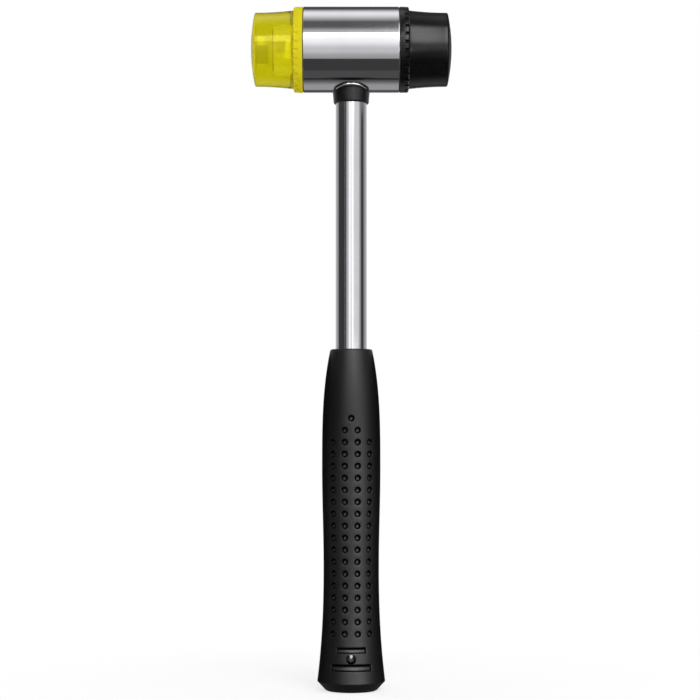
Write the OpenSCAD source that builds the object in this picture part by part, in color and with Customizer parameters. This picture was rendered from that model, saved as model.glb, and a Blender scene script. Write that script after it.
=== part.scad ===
// Soft face hammer: a plated steel barrel with two screw-in striking faces,
// on a plated tube handle with a moulded grip.
// Millimetres. The butt of the grip stands on Z = 0 and the handle runs up +Z.
// The barrel lies along X: the yellow face looks to -X, the black face to +X.

/* [Head] */
// Diameter of the barrel, and of the face flanges that sit flush with it
head_d = 35; // [32:0.5:42]
// Length of the barrel between its two rims
head_len = 38.8; // [36:0.1:46]
// Height of the barrel's axis above the butt of the grip
head_axis_z = 260.8; // [240:0.1:300]
// Chamfer on the barrel's rims
head_chamfer = 0.5; // [0.2:0.1:1]

/* [Faces] */
// Length of a face in front of its flange, up to the crown's apex
face_len = 17.6; // [12:0.1:24]
// Thickness of the flange that seats on the barrel
flange_t = 3.7; // [3:0.1:6]
// Step from the flange's rim in to the root of the face
flange_step = 1.5; // [1:0.1:3]
// Chamfer on the outer corner of the flange
flange_chamfer = 0.4; // [0.2:0.1:0.8]
// How far the hollowed side of a face draws in from its root to its edge
face_draw = 0.95; // [0.4:0.05:2]
// Rise of the domed striking surface
crown_rise = 1.7; // [0.8:0.1:3]
// Rounding of the edge between the side and the dome
face_edge_r = 0.8; // [0.4:0.1:1.5]
// Number of finger notches round the flange
notch_count = 32; // [16:1:40]
// Radius of a finger notch
notch_r = 0.75; // [0.4:0.05:1]
// Length of a finger notch along the flange
notch_len = 1.8; // [1:0.1:2.8]
// Diameter of the hollow in the studs, which runs on into the yellow face
core_d = 14; // [8:0.5:15]
// Solid thickness between that hollow and the apex of the yellow face
core_floor = 9.2; // [5:0.1:14]
// Diameter of the anchor disc moulded into the black face
anchor_d = 24; // [21:0.5:26]
// Thickness of the anchor disc
anchor_t = 4; // [2:0.1:6]

/* [Screw joint] */
// Outside diameter of the face's stud
stud_d = 19.8; // [18:0.1:22]
// Length of the stud behind the flange
stud_len = 10; // [7:0.1:10.5]
// Chamfer that leads the stud into its socket
stud_lead = 1; // [0.4:0.1:1.5]
// Thickness of the seat washer under the flange
washer_t = 0.4; // [0.3:0.1:1]
// Setback of the washer's rim from the barrel's surface
washer_setback = 0.3; // [0.2:0.1:2]
// Space left between the stud's end and the bottom of its socket
socket_space = 0.9; // [0.3:0.1:1.5]

/* [Handle] */
// Outside diameter of the handle tube
tube_d = 12.7; // [11:0.1:14]
// Wall of the handle tube
tube_wall = 1.2; // [0.8:0.1:2]
// How far the tube reaches past the barrel's axis
tube_reach = 8; // [5:0.1:11]
// Height of the tube's lower end above the butt
tube_foot = 8; // [6:0.1:10]
// Length of the plug that stiffens the tube inside the barrel
plug_len = 20; // [14:0.5:40]
// Diameter of the cross pin that locks the tube in the barrel
pin_d = 4; // [2:0.1:5]
// Length of the end cap's stem inside the tube
cap_stem = 10; // [5:0.5:20]
// Thickness of the end cap's head under the tube
cap_head = 2; // [1:0.1:3]

/* [Collar] */
// Wall of the collar where it meets the barrel
collar_top_wall = 1.2; // [0.8:0.05:3]
// Wall of the collar at its lower edge
collar_low_wall = 0.85; // [0.7:0.05:2.5]
// How far the collar reaches below the barrel
collar_drop = 4.8; // [3:0.1:10]
// Chamfer on the collar's lower edge
collar_chamfer = 0.35; // [0.1:0.05:0.6]

/* [Grip outline] */
// Length of the grip from its butt to its mouth
grip_len = 137.7; // [120:0.1:170]
// Wall of the grip at its mouth
mouth_wall = 2.15; // [1.5:0.05:4]
// Diameter of the grip's belly
belly_d = 23.7; // [20.5:0.1:28]
// Height of the belly above the butt
belly_z = 90.5; // [80:0.5:105]
// Diameter of the grip's waist
waist_d = 22.4; // [20:0.1:26]
// Height of the waist above the butt
waist_z = 49; // [40:0.5:60]
// Largest diameter of the flared foot
foot_d = 27.4; // [24:0.1:32]
// Height of that largest diameter above the butt
foot_z = 3.8; // [3:0.1:7]
// Diameter of the flat butt
butt_d = 19.6; // [14:0.1:22]
// Rounding of the butt's edge and of the mouth's edge
grip_edge = 0.7; // [0.3:0.1:1.2]

/* [Grip dimples] */
// Rows of dimples up the grip
dimple_rows = 19; // [5:1:22]
// Distance from row to row
dimple_pitch = 4.78; // [4:0.02:5.2]
// Height of the lowest row above the butt
dimple_low_z = 23.5; // [20:0.5:30]
// Angle between two columns, in degrees
dimple_angle = 26; // [18:1:30]
// Diameter of a dimple
dimple_d = 2.6; // [1.6:0.1:3.6]
// Depth of a dimple
dimple_depth = 0.8; // [0.3:0.1:1.5]

/* [Grip foot marks] */
// Width of the upper slot
upper_slot_w = 11.8; // [6:0.1:16]
// Height of the upper slot
upper_slot_h = 2.4; // [1:0.1:3]
// Height of the upper slot's centre above the butt
upper_slot_z = 17; // [16:0.1:18.5]
// Width of the lower slot
lower_slot_w = 16.2; // [8:0.1:18]
// Height of the lower slot
lower_slot_h = 2.9; // [1:0.1:3.4]
// Height of the lower slot's centre above the butt
lower_slot_z = 10.1; // [8:0.1:10.2]
// Depth of both slots
slot_depth = 0.9; // [0.3:0.1:1.5]
// Diameter of the holes left by the mould's locating pins
locating_d = 3.4; // [2:0.1:3.6]
// Height of the locating holes above the butt
locating_z = 13.6; // [13.2:0.1:14]

/* [Fits] */
// Radial clearance of the stud in its socket
thread_clearance = 0.1; // [0.05:0.01:0.1]
// Radial clearance of the washer round the stud
washer_clearance = 0.3; // [0.2:0.1:1]
// Gap at faces that are pressed, glued or moulded together
bond_gap = 0.03; // [0.01:0.01:0.08]

/* [Hidden] */

$fn = 64;
cut = 1;              // overshoot of a cut past the face it opens
yellow_side = -1;     // sign of X that the yellow face looks to
black_side = 1;       // sign of X that the black face looks to
fine_step = 3;        // longest straight step along the grip's outline
shoulder_power = 3;   // how late the grip's shoulder falls away to the mouth
flare_power = 2.25;   // how late the grip's foot flares out

head_r = head_d / 2;
rim_x = head_len / 2;
seat_x = rim_x + washer_t;
step_x = seat_x + flange_t;
apex_x = step_x + face_len;

root_r = head_r - flange_step;
edge_r = root_r - face_draw;
stud_r = stud_d / 2;
socket_r = stud_r + thread_clearance;
stud_end_x = seat_x - stud_len;
socket_floor_x = stud_end_x - socket_space;

tube_r = tube_d / 2;
tube_inner_r = tube_r - tube_wall;
tube_top_z = head_axis_z + tube_reach;
pin_r = pin_d / 2;
collar_low_z = head_axis_z - head_r - collar_drop;
mouth_r = tube_r + mouth_wall;

// The dome's circle meets the side at the edge's height, and a small circle rounds the corner.
dome_r = (edge_r * edge_r + crown_rise * crown_rise) / (2 * crown_rise);
dome_x = apex_x - dome_r;
round_r = edge_r - face_edge_r;
round_x = dome_x + sqrt(pow(dome_r - face_edge_r, 2) - pow(round_r, 2));

// The hollowed side is an arc that runs out parallel to the axis at the rounded edge.
side_len = round_x - step_x;
side_arc_r = (side_len * side_len + face_draw * face_draw) / (2 * face_draw);

// Radius of the grip at a height z above the butt, between the foot and the mouth
function grip_r(z) =
    z >= belly_z ? shoulder_r((z - belly_z) / (grip_len - belly_z)) :
    z >= waist_z ? palm_r((z - waist_z) / (belly_z - waist_z)) :
    flare_r((waist_z - z) / (waist_z - foot_z));

function shoulder_r(t) = belly_d / 2 - (belly_d / 2 - mouth_r) * pow(t, shoulder_power);
function palm_r(t) = waist_d / 2 + (belly_d - waist_d) / 2 * (1 - cos(180 * t)) / 2;
function flare_r(t) = waist_d / 2 + (foot_d - waist_d) / 2 * pow(t, flare_power);

// Number of dimples in a row: the pattern comes to a point at its upper end.
function columns_in_row(from_top) = from_top == 0 ? 1 : from_top == 1 ? 2 : 4;

// Stands a shape that is turned about Z on the barrel's axis, looking to one side.
module on_side(side) {
    translate([0, 0, head_axis_z])
        rotate([0, side * 90, 0])
            children();
}

// Outline of a face's striking part: hollowed side, rounded edge and dome.
module strike_outline() {
    reach = 3 * face_edge_r;
    tilt = atan2(round_r, round_x - dome_x);
    difference() {
        translate([0, step_x])
            square([root_r, side_len]);
        translate([edge_r + side_arc_r, round_x])
            circle(r = side_arc_r);
    }
    intersection() {
        translate([0, dome_x])
            circle(r = dome_r);
        polygon([
            [0, round_x],
            [round_r, round_x],
            [round_r + reach * sin(tilt), round_x + reach * cos(tilt)],
            [0, apex_x + reach],
        ]);
    }
    translate([round_r, round_x])
        circle(r = face_edge_r);
}

module flange_outline() {
    polygon([
        [0, seat_x],
        [head_r, seat_x],
        [head_r, step_x - flange_chamfer],
        [head_r - flange_chamfer, step_x],
        [0, step_x],
    ]);
}

module stud_outline() {
    polygon([
        [0, stud_end_x],
        [stud_r - stud_lead, stud_end_x],
        [stud_r, stud_end_x + stud_lead],
        [stud_r, seat_x],
        [0, seat_x],
    ]);
}

// Ring of short finger notches in the flange's outer corner
module flange_notches() {
    for (i = [0:notch_count - 1])
        rotate(i * 360 / notch_count)
            translate([head_r, 0, step_x - notch_len])
                cylinder(r = notch_r, h = notch_len + cut);
}

module head_body() {
    color("silver")
        difference() {
            on_side(black_side)
                rotate_extrude()
                    polygon([
                        [0, -rim_x],
                        [head_r - head_chamfer, -rim_x],
                        [head_r, -rim_x + head_chamfer],
                        [head_r, rim_x - head_chamfer],
                        [head_r - head_chamfer, rim_x],
                        [0, rim_x],
                    ]);
            for (side = [yellow_side, black_side])
                on_side(side)
                    face_socket();
            translate([0, 0, head_axis_z - head_d])
                cylinder(r = tube_r + bond_gap, h = head_d + tube_reach + bond_gap);
            pin_hole();
        }
}

// Socket for a stud, with a countersunk mouth as deep as the stud's own lead
module face_socket() {
    rotate_extrude()
        polygon([
            [0, socket_floor_x],
            [socket_r, socket_floor_x],
            [socket_r, rim_x - stud_lead],
            [socket_r + stud_lead, rim_x],
            [socket_r + stud_lead, rim_x + cut],
            [0, rim_x + cut],
        ]);
}

// Cross hole for the pin, through whatever it locks together
module pin_hole() {
    on_side(black_side)
        cylinder(r = pin_r + bond_gap, h = head_len, center = true);
}

module yellow_face() {
    color("gold")
        on_side(yellow_side)
            difference() {
                rotate_extrude()
                    difference() {
                        union() {
                            strike_outline();
                            flange_outline();
                            stud_outline();
                        }
                        translate([0, stud_end_x - cut])
                            square([core_d / 2, apex_x - core_floor - stud_end_x + cut]);
                    }
                flange_notches();
            }
}

module black_face() {
    color("dimgray")
        on_side(black_side)
            difference() {
                rotate_extrude()
                    difference() {
                        union() {
                            strike_outline();
                            flange_outline();
                        }
                        translate([0, seat_x - cut])
                            square([stud_r + bond_gap, flange_t + cut]);
                        translate([0, step_x])
                            square([anchor_d / 2 + bond_gap, anchor_t + bond_gap]);
                    }
                flange_notches();
            }
}

// Stud of the black face, held in it by an anchor disc
module black_face_core() {
    color("ivory")
        on_side(black_side)
            rotate_extrude()
                difference() {
                    union() {
                        stud_outline();
                        translate([0, seat_x])
                            square([stud_r, flange_t + anchor_t]);
                        translate([0, step_x + bond_gap])
                            square([anchor_d / 2, anchor_t - bond_gap]);
                    }
                    translate([0, stud_end_x - cut])
                        square([core_d / 2, seat_x - stud_end_x + cut]);
                }
}

module seat_washer(side) {
    on_side(side)
        translate([0, 0, rim_x])
            difference() {
                cylinder(r = head_r - washer_setback, h = washer_t);
                translate([0, 0, -cut])
                    cylinder(r = stud_r + washer_clearance, h = washer_t + 2 * cut);
            }
}

module yellow_face_washer() {
    color("black")
        seat_washer(yellow_side);
}

module black_face_washer() {
    color("black")
        seat_washer(black_side);
}

// Tapered collar whose top is cut to a saddle by the barrel
module neck_collar() {
    low_r = tube_r + collar_low_wall;
    taper = (collar_top_wall - collar_low_wall) / collar_drop;
    blank_h = collar_drop + head_r / 2;
    color("darkslategray")
        difference() {
            translate([0, 0, collar_low_z])
                rotate_extrude()
                    polygon([
                        [tube_r + bond_gap, 0],
                        [low_r - collar_chamfer, 0],
                        [low_r + taper * collar_chamfer, collar_chamfer],
                        [low_r + taper * blank_h, blank_h],
                        [tube_r + bond_gap, blank_h],
                    ]);
            on_side(black_side)
                cylinder(r = head_r + bond_gap, h = head_len, center = true);
        }
}

module handle_tube() {
    color("silver")
        difference() {
            translate([0, 0, tube_foot])
                cylinder(r = tube_r, h = tube_top_z - tube_foot);
            translate([0, 0, tube_foot - cut])
                cylinder(r = tube_inner_r, h = tube_top_z - tube_foot + 2 * cut);
            pin_hole();
        }
}

module tube_plug() {
    color("gray")
        difference() {
            translate([0, 0, tube_top_z - plug_len])
                cylinder(r = tube_inner_r - bond_gap, h = plug_len);
            pin_hole();
        }
}

module handle_pin() {
    color("lightgray")
        on_side(black_side)
            cylinder(r = pin_r, h = 2 * socket_floor_x, center = true);
}

module tube_end_cap() {
    color("darkgray") {
        translate([0, 0, tube_foot - cap_head])
            cylinder(r = tube_r, h = cap_head);
        translate([0, 0, tube_foot - cap_head / 2])
            cylinder(r = tube_inner_r - bond_gap, h = cap_head / 2 + cap_stem);
    }
}

module grip() {
    color([0.13, 0.13, 0.14])
        difference() {
            rotate_extrude()
                grip_outline();
            translate([0, 0, tube_foot - cap_head])
                cylinder(r = tube_r + bond_gap, h = grip_len);
            for (half_turn = [0, 180])
                rotate(half_turn)
                    grip_marks();
        }
}

module grip_outline() {
    steps = ceil((grip_len - foot_z) / fine_step);
    mouth_low_z = grip_len - grip_edge;
    side_points = [
        for (i = [0:steps])
            let (z = foot_z + (mouth_low_z - foot_z) * i / steps)
                [grip_r(z), z]
    ];
    polygon(concat(
        [[0, 0], [butt_d / 2, 0], [butt_d / 2 + grip_edge, grip_edge / 2]],
        side_points,
        [[mouth_r - grip_edge, grip_len], [0, grip_len]]
    ));
}

// Dimples, slots and locating hole on the side of the grip that looks to -Y
module grip_marks() {
    for (row = [0:dimple_rows - 1]) {
        columns = columns_in_row(dimple_rows - 1 - row);
        for (column = [0:columns - 1])
            rotate((column - (columns - 1) / 2) * dimple_angle)
                dimple(dimple_low_z + row * dimple_pitch);
    }
    foot_slot(upper_slot_w, upper_slot_h, upper_slot_z);
    foot_slot(lower_slot_w, lower_slot_h, lower_slot_z);
    translate([0, 0, locating_z])
        rotate([90, 0, 0])
            cylinder(d = locating_d, h = foot_d);
}

module dimple(z) {
    translate([0, dimple_depth - grip_r(z), z])
        rotate([90, 0, 0])
            cylinder(d = dimple_d, h = dimple_depth + cut);
}

// Slot with straight ends, whose floor lies at one depth under the grip's round side
module foot_slot(w, h, z) {
    difference() {
        translate([-w / 2, -foot_d, z - h / 2])
            cube([w, foot_d, h]);
        translate([0, 0, z - h])
            cylinder(r = grip_r(z) - slot_depth, h = 2 * h);
    }
}

head_body();
yellow_face();
yellow_face_washer();
black_face();
black_face_core();
black_face_washer();
neck_collar();
handle_tube();
tube_plug();
handle_pin();
tube_end_cap();
grip();
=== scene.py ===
import math

import bpy
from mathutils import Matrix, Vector


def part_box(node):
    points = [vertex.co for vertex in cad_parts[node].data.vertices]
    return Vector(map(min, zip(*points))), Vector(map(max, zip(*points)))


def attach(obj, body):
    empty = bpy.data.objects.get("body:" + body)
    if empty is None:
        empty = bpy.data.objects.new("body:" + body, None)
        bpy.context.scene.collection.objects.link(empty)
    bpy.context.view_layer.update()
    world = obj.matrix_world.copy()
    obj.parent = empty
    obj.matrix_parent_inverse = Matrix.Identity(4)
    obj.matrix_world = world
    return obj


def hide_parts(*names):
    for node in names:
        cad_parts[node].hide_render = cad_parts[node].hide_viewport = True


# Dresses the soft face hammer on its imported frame: meshes, finishes, light and camera
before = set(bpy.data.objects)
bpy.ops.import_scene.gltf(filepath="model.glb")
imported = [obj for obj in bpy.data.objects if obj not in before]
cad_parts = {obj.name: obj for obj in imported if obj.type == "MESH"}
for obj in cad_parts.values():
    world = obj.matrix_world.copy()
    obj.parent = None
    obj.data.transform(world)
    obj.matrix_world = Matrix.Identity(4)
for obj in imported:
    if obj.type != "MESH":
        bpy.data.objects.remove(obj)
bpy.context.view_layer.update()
mm = 0.001
mergeGap = 0.002  # points this close are made one
print("frame loaded:", len(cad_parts), "nodes")


# Places read from the frame, in millimetres
def boxOf(node, parts=20):  # rounded to a part of a millimetre
    return [[round(c / mm * parts) / parts for c in corner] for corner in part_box(node)]


headLow, headHigh = boxOf("head_body")
tubeLow, tubeHigh = boxOf("handle_tube")
headRadius = (headHigh[1] - headLow[1]) / 2
headAxis = (headHigh[2] + headLow[2]) / 2
headCentre = (0, 0, headAxis)
rimPlace = headHigh[0]
seatPlace = boxOf("black_face")[0][0]
apexPlace = boxOf("black_face")[1][0]
studEnd = boxOf("black_face_core")[0][0]
coreTop = boxOf("black_face_core")[1][0]
socketFloor = boxOf("handle_pin")[1][0]
pinRadius = boxOf("handle_pin")[1][1]
tubeRadius = (tubeHigh[1] - tubeLow[1]) / 2
collarFoot = boxOf("neck_collar")[0][2]
gripTop = boxOf("grip")[1][2]
boreFloor = boxOf("tube_end_cap")[0][2]
bondGap = 0.03  # between pieces that are pressed or moulded together
print("barrel radius", headRadius, "axis", headAxis)


# Modelling helpers
def freshPiece(name, add, **settings):
    bpy.ops.object.select_all(action="DESELECT")
    add(**settings)
    piece = bpy.context.object
    piece.name = name
    piece.data.name = name
    return piece


def makeActive(piece):
    bpy.ops.object.select_all(action="DESELECT")
    piece.select_set(True)
    bpy.context.view_layer.objects.active = piece


def setMode(mode):
    bpy.ops.object.mode_set(mode=mode)


def editAll():
    setMode("EDIT")
    bpy.ops.mesh.select_all(action="SELECT")


def joinTo(piece, others):
    makeActive(piece)
    for other in others:
        other.select_set(True)
    bpy.ops.object.join()


def settle(piece, rotation=(0, 0, 0), location=(0, 0, 0)):  # puts a piece's place into its mesh
    makeActive(piece)
    piece.rotation_euler = rotation
    piece.location = location
    bpy.ops.object.transform_apply()
    return piece


def carve(piece, tool, operation):
    makeActive(piece)
    cut = piece.modifiers.new("carve", "BOOLEAN")
    cut.object = tool
    cut.operation = operation
    cut.solver = "EXACT"
    bpy.ops.object.modifier_apply(modifier=cut.name)
    bpy.data.objects.remove(tool)


def mergeAndTurnOut(threshold=mergeGap):
    bpy.ops.mesh.select_all(action="SELECT")
    bpy.ops.mesh.remove_doubles(threshold=threshold * mm)
    bpy.ops.mesh.normals_make_consistent(inside=False)


def arc(centre, radius, fromAngle, toAngle, steps):
    turns = [fromAngle + (toAngle - fromAngle) * i / steps for i in range(steps + 1)]
    return [(centre[0] + radius * math.cos(t), centre[1] + radius * math.sin(t)) for t in turns]


def softened(corners, steps=4):  # corners of (radius, height, rounding); rounds each with an arc
    points = []
    for i, (r, s, rounding) in enumerate(corners):
        here = Vector((r, s))
        if rounding == 0:
            points.append((r, s))
            continue
        back = (Vector(corners[i - 1][:2]) - here).normalized()
        ahead = (Vector(corners[i + 1][:2]) - here).normalized()
        half = back.angle(ahead) / 2
        middle = here + (back + ahead).normalized() * rounding / math.sin(half)
        start = here + back * rounding / math.tan(half) - middle
        end = here + ahead * rounding / math.tan(half) - middle
        fromAngle = math.atan2(start.y, start.x)
        sweep = (math.atan2(end.y, end.x) - fromAngle + math.pi) % math.tau - math.pi
        points += arc(middle, rounding, fromAngle, fromAngle + sweep, steps)
    return points


def turnOutline(name, outline, steps):  # draws an outline of (radius, height) and spins it about Z
    r0, s0 = outline[0]
    piece = freshPiece(name, bpy.ops.mesh.primitive_plane_add, size=mm, location=(r0 * mm, 0, s0 * mm))
    setMode("EDIT")
    bpy.ops.mesh.select_mode(type="VERT")
    bpy.ops.mesh.merge(type="CENTER")
    for (r0, s0), (r1, s1) in zip(outline, outline[1:]):
        step = ((r1 - r0) * mm, 0, (s1 - s0) * mm)
        bpy.ops.mesh.extrude_vertices_move(TRANSFORM_OT_translate={"value": step})
    bpy.ops.mesh.select_all(action="SELECT")
    bpy.ops.mesh.remove_doubles(threshold=mergeGap * mm)
    bpy.ops.mesh.spin(steps=steps, angle=math.tau, center=(0, 0, 0), axis=(0, 0, 1))
    mergeAndTurnOut()
    setMode("OBJECT")
    bpy.ops.object.transform_apply()
    return piece


def onSide(piece, side):  # stands a piece that is turned about Z on the barrel's axis
    return settle(piece, rotation=(0, side * math.pi / 2, 0), location=[c * mm for c in headCentre])


def dress(piece, finish, body, node, smooth=35):
    makeActive(piece)
    piece.data.materials.clear()
    piece.data.materials.append(finishes[finish])
    bpy.ops.object.shade_smooth_by_angle(angle=math.radians(smooth))
    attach(piece, body)
    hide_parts(node)
    print("piece", piece.name, len(piece.data.polygons), "faces")


# Shader helpers
class Wire:  # a socket whose sums and products add Math nodes
    def __init__(self, graph, socket):
        self.graph = graph
        self.socket = socket

    def maths(self, operation, *terms):
        return self.graph.node("ShaderNodeMath", {"operation": operation}, dict(enumerate(terms)))

    def __add__(self, other):
        return self.maths("ADD", self, other)

    __radd__ = __add__

    def __sub__(self, other):
        return self.maths("SUBTRACT", self, other)

    def __rsub__(self, other):
        return self.maths("SUBTRACT", other, self)

    def __mul__(self, other):
        return self.maths("MULTIPLY", self, other)

    def __pow__(self, other):
        return self.maths("POWER", self, other)

    def within(self, low, high):  # 0 below low, 1 above high, smooth between
        settings = {"interpolation_type": "SMOOTHSTEP"}
        return self.graph.node("ShaderNodeMapRange", settings, {"Value": self, 1: low, 2: high})


class Graph:  # a node tree that is written as expressions
    def __init__(self, tree):
        self.tree = tree
        tree.nodes.clear()

    def node(self, kind, settings=None, inputs=None, output=0):
        made = self.tree.nodes.new(kind)
        for key, value in (settings or {}).items():
            setattr(made, key, value)
        for key, value in (inputs or {}).items():
            if isinstance(value, Wire):
                self.tree.links.new(value.socket, made.inputs[key])
            else:
                made.inputs[key].default_value = value
        return Wire(self, made.outputs[output])

    def place(self, scale=(1, 1, 1), centre=(0, 0, 0)):  # object coordinates in millimetres
        coords = self.node("ShaderNodeTexCoord", output="Object")
        offset = [-c * mm for c in centre]
        moved = self.node("ShaderNodeMapping", None, {"Vector": coords, "Location": offset})
        inputs = {"Vector": moved, "Scale": [s / mm for s in scale]}
        return self.node("ShaderNodeMapping", None, inputs)

    def axis(self, vector, name):
        return self.node("ShaderNodeSeparateXYZ", None, {0: vector}, name)

    def noise(self, vector, scale=1, detail=2, roughness=0.5):
        inputs = {"Vector": vector, "Scale": scale, "Detail": detail, "Roughness": roughness}
        return self.node("ShaderNodeTexNoise", None, inputs)

    def blend(self, factor, first, second):
        inputs = {0: factor, 6: first, 7: second}
        return self.node("ShaderNodeMix", {"data_type": "RGBA"}, inputs, 2)

    def bump(self, height, strength, distance):
        inputs = {"Height": height, "Strength": strength, "Distance": distance * mm}
        return self.node("ShaderNodeBump", None, inputs)

    def end(self, shader, kind="ShaderNodeOutputMaterial", volume=None):
        made = self.tree.nodes.new(kind)
        self.tree.links.new(shader.socket, made.inputs["Surface"])
        if volume:
            self.tree.links.new(volume.socket, made.inputs["Volume"])

    def finish(self, inputs):
        self.end(self.node("ShaderNodeBsdfPrincipled", None, inputs))


def newFinish(name):
    material = bpy.data.materials.new(name)
    material.use_nodes = True
    return material, Graph(material.node_tree)


# Finishes
def chromePlate(name, axisLetter, centre):
    material, g = newFinish(name)
    along = g.place(centre=centre)
    rings = [0.02, 0.02, 0.02]
    rings["XYZ".index(axisLetter)] = 9  # polishing lines run round the axis
    lines = g.noise(g.place(rings, centre), 1, 3, 0.7)
    haze = g.noise(along, 0.09, 3, 0.55)
    specks = g.noise(along, 2.2, 2, 0.6).within(0.66, 0.74)
    tone = g.blend(haze, (0.66, 0.66, 0.69, 1), (0.74, 0.74, 0.77, 1))
    rough = 0.045 + haze * 0.05 + lines * 0.03 + specks * 0.06
    normal = g.bump(lines, 0.04, 0.01)
    g.finish({"Base Color": tone, "Roughness": rough, "Metallic": 1.0, "Normal": normal})
    return material


def clearYellow():  # clear plastic that deepens with its thickness, with a little haze at each surface
    material, g = newFinish("clearYellow")
    around = g.place(centre=headCentre)
    clouds = g.noise(around, 0.16, 3, 0.6)
    grain = g.noise(around, 1.6, 2, 0.5)
    tone = g.blend(clouds.within(0.3, 0.75), (0.94, 0.90, 0.28, 1), (0.98, 0.95, 0.34, 1))
    rough = 0.04 + grain.within(0.5, 0.8) * 0.06
    normal = g.bump(clouds, 0.12, 0.25)
    clear = g.node("ShaderNodeBsdfPrincipled", None, {
        "Base Color": tone, "Roughness": rough, "Normal": normal, "IOR": 1.5, "Transmission Weight": 1.0,
        "Specular Tint": (1.0, 0.92, 0.2, 1)})
    milky = {"Color": (0.95, 0.83, 0.03, 1)}
    skin = g.node("ShaderNodeBsdfDiffuse", None, milky)
    body = g.node("ShaderNodeBsdfTranslucent", None, milky)
    haze = g.node("ShaderNodeMixShader", None, {0: 0.5, 1: skin, 2: body})
    flange = g.axis(around, "X").within(-stepPlace - 0.6, -stepPlace + 0.2)
    dome = 1 - g.axis(around, "X").within(2.0 - apexPlace, 2.4 - apexPlace)  # dulled by striking
    outAcross = g.axis(around, "Y")
    outUp = g.axis(around, "Z")
    radius = (outAcross * outAcross + outUp * outUp) ** 0.5
    outside = radius.within(faceSizes["hollowRadius"] + 0.1, faceSizes["hollowRadius"] + 0.6)
    share = (0.05 + clouds.within(0.4, 0.7) * 0.05 + flange * 0.8) * outside + dome * 0.5
    depth = g.node("ShaderNodeVolumeAbsorption", None, {
        "Color": (0.875, 0.861, 0.006, 1), "Density": 165.0})
    g.end(g.node("ShaderNodeMixShader", None, {0: share, 1: clear, 2: haze}), volume=depth)
    return material


def blackRubber():
    material, g = newFinish("blackRubber")
    around = g.place(centre=headCentre)
    bloom = g.noise(around, 0.18, 4, 0.6)
    grain = g.noise(around, 5, 2, 0.6)
    tone = g.blend(bloom.within(0.35, 0.75), (0.0015, 0.0015, 0.0016, 1), (0.003, 0.003, 0.0032, 1))
    dome = g.axis(around, "X").within(apexPlace - 2.3, apexPlace - 1.8)  # dulled by striking
    rough = 0.27 + bloom * 0.05 + grain * 0.04 + dome * 0.3
    # painted shade: the coat's sheen is cut down in the notches
    skin = 1 - g.node("ShaderNodeAttribute", {"attribute_name": "recessShade"}, output="Fac").within(0.1, 0.5)
    skin = skin * (1 - dome * 0.85)
    g.finish({"Base Color": tone, "Roughness": rough, "Specular IOR Level": 0.06, "Coat Weight": skin,
              "Coat Roughness": 0.22, "Coat IOR": 1.3, "Normal": g.bump(grain, 0.12, 0.05)})
    return material


def gripVinyl():  # the skin's sheen is a coat, cut as painted shade on the walls of dimples and slots and in the holes
    material, g = newFinish("gripVinyl")
    around = g.place()
    grain = g.noise(around, 3.2, 3, 0.65)
    clouds = g.noise(around, 0.12, 3, 0.6)
    height = g.axis(around, "Z")
    aside = g.axis(around, "X")
    above = height - gripSizes["holeHeight"]
    fromHole = (aside * aside + above * above) ** 0.5
    # painted shade: no sheen in the locating holes and at their rims
    skin = fromHole.within(gripSizes["holeRadius"] + 0.1, gripSizes["holeRadius"] + 0.35)
    # painted shade: no sheen on the marked walls of dimples and slots
    recessShade = g.node("ShaderNodeAttribute", {"attribute_name": "recessShade"}, output="Fac")
    skin = skin * (1 - recessShade.within(0.35, 0.85))
    skin = skin * (1 - height.within(70, 118) * 0.42)  # painted shade: the sheen is cut back towards the mouth, so the upper grip reads darker
    rub = clouds.within(0.45, 0.75) * (1 - height.within(0, 14))  # dulled near the butt
    tone = g.blend(clouds, (0.0006, 0.0006, 0.0007, 1), (0.0012, 0.0012, 0.0013, 1))
    rough = 0.4 + grain * 0.06 + rub * 0.1
    g.finish({"Base Color": tone, "Roughness": rough, "Specular IOR Level": 0.05, "Coat Weight": skin,
              "Coat Roughness": 0.43, "Coat IOR": 1.62, "Normal": g.bump(grain, 0.16, 0.05)})
    return material


def collarPlastic():
    material, g = newFinish("collarPlastic")
    around = g.place()
    clouds = g.noise(around, 0.3, 3, 0.6)
    grain = g.noise(around, 6, 2, 0.5)
    tone = g.blend(clouds, (0.002, 0.002, 0.0022, 1), (0.005, 0.005, 0.0055, 1))
    g.finish({"Base Color": tone, "Roughness": 0.3 + clouds * 0.08, "Specular IOR Level": 0.35,
              "Normal": g.bump(grain, 0.05, 0.02)})
    return material


def pressedFibre():
    material, g = newFinish("pressedFibre")
    flecks = g.noise(g.place((3, 3, 3), headCentre), 1, 4, 0.7)
    tone = g.blend(flecks, (0.008, 0.008, 0.008, 1), (0.03, 0.029, 0.028, 1))
    g.finish({"Base Color": tone, "Roughness": 0.62 + flecks * 0.2, "Normal": g.bump(flecks, 0.3, 0.05)})
    return material


def naturalNylon():
    material, g = newFinish("naturalNylon")
    around = g.place(centre=headCentre)
    clouds = g.noise(around, 0.25, 3, 0.6)
    grain = g.noise(around, 4, 2, 0.5)
    tone = g.blend(clouds, (0.66, 0.62, 0.50, 1), (0.76, 0.73, 0.63, 1))
    g.finish({"Base Color": tone, "Roughness": 0.36 + grain * 0.12, "Normal": g.bump(grain, 0.1, 0.05)})
    return material


def turnedSteel():
    material, g = newFinish("turnedSteel")
    rings = g.noise(g.place((0.3, 0.3, 12)), 1, 3, 0.7)
    tone = g.blend(rings, (0.42, 0.42, 0.43, 1), (0.56, 0.56, 0.57, 1))
    g.finish({"Base Color": tone, "Roughness": 0.24 + rings * 0.2, "Metallic": 1.0,
              "Normal": g.bump(rings, 0.15, 0.03)})
    return material


def capPlastic():
    material, g = newFinish("capPlastic")
    grain = g.noise(g.place(), 2.5, 3, 0.6)
    tone = g.blend(grain, (0.03, 0.03, 0.032, 1), (0.05, 0.05, 0.053, 1))
    g.finish({"Base Color": tone, "Roughness": 0.45 + grain * 0.15, "Normal": g.bump(grain, 0.2, 0.05)})
    return material


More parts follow.
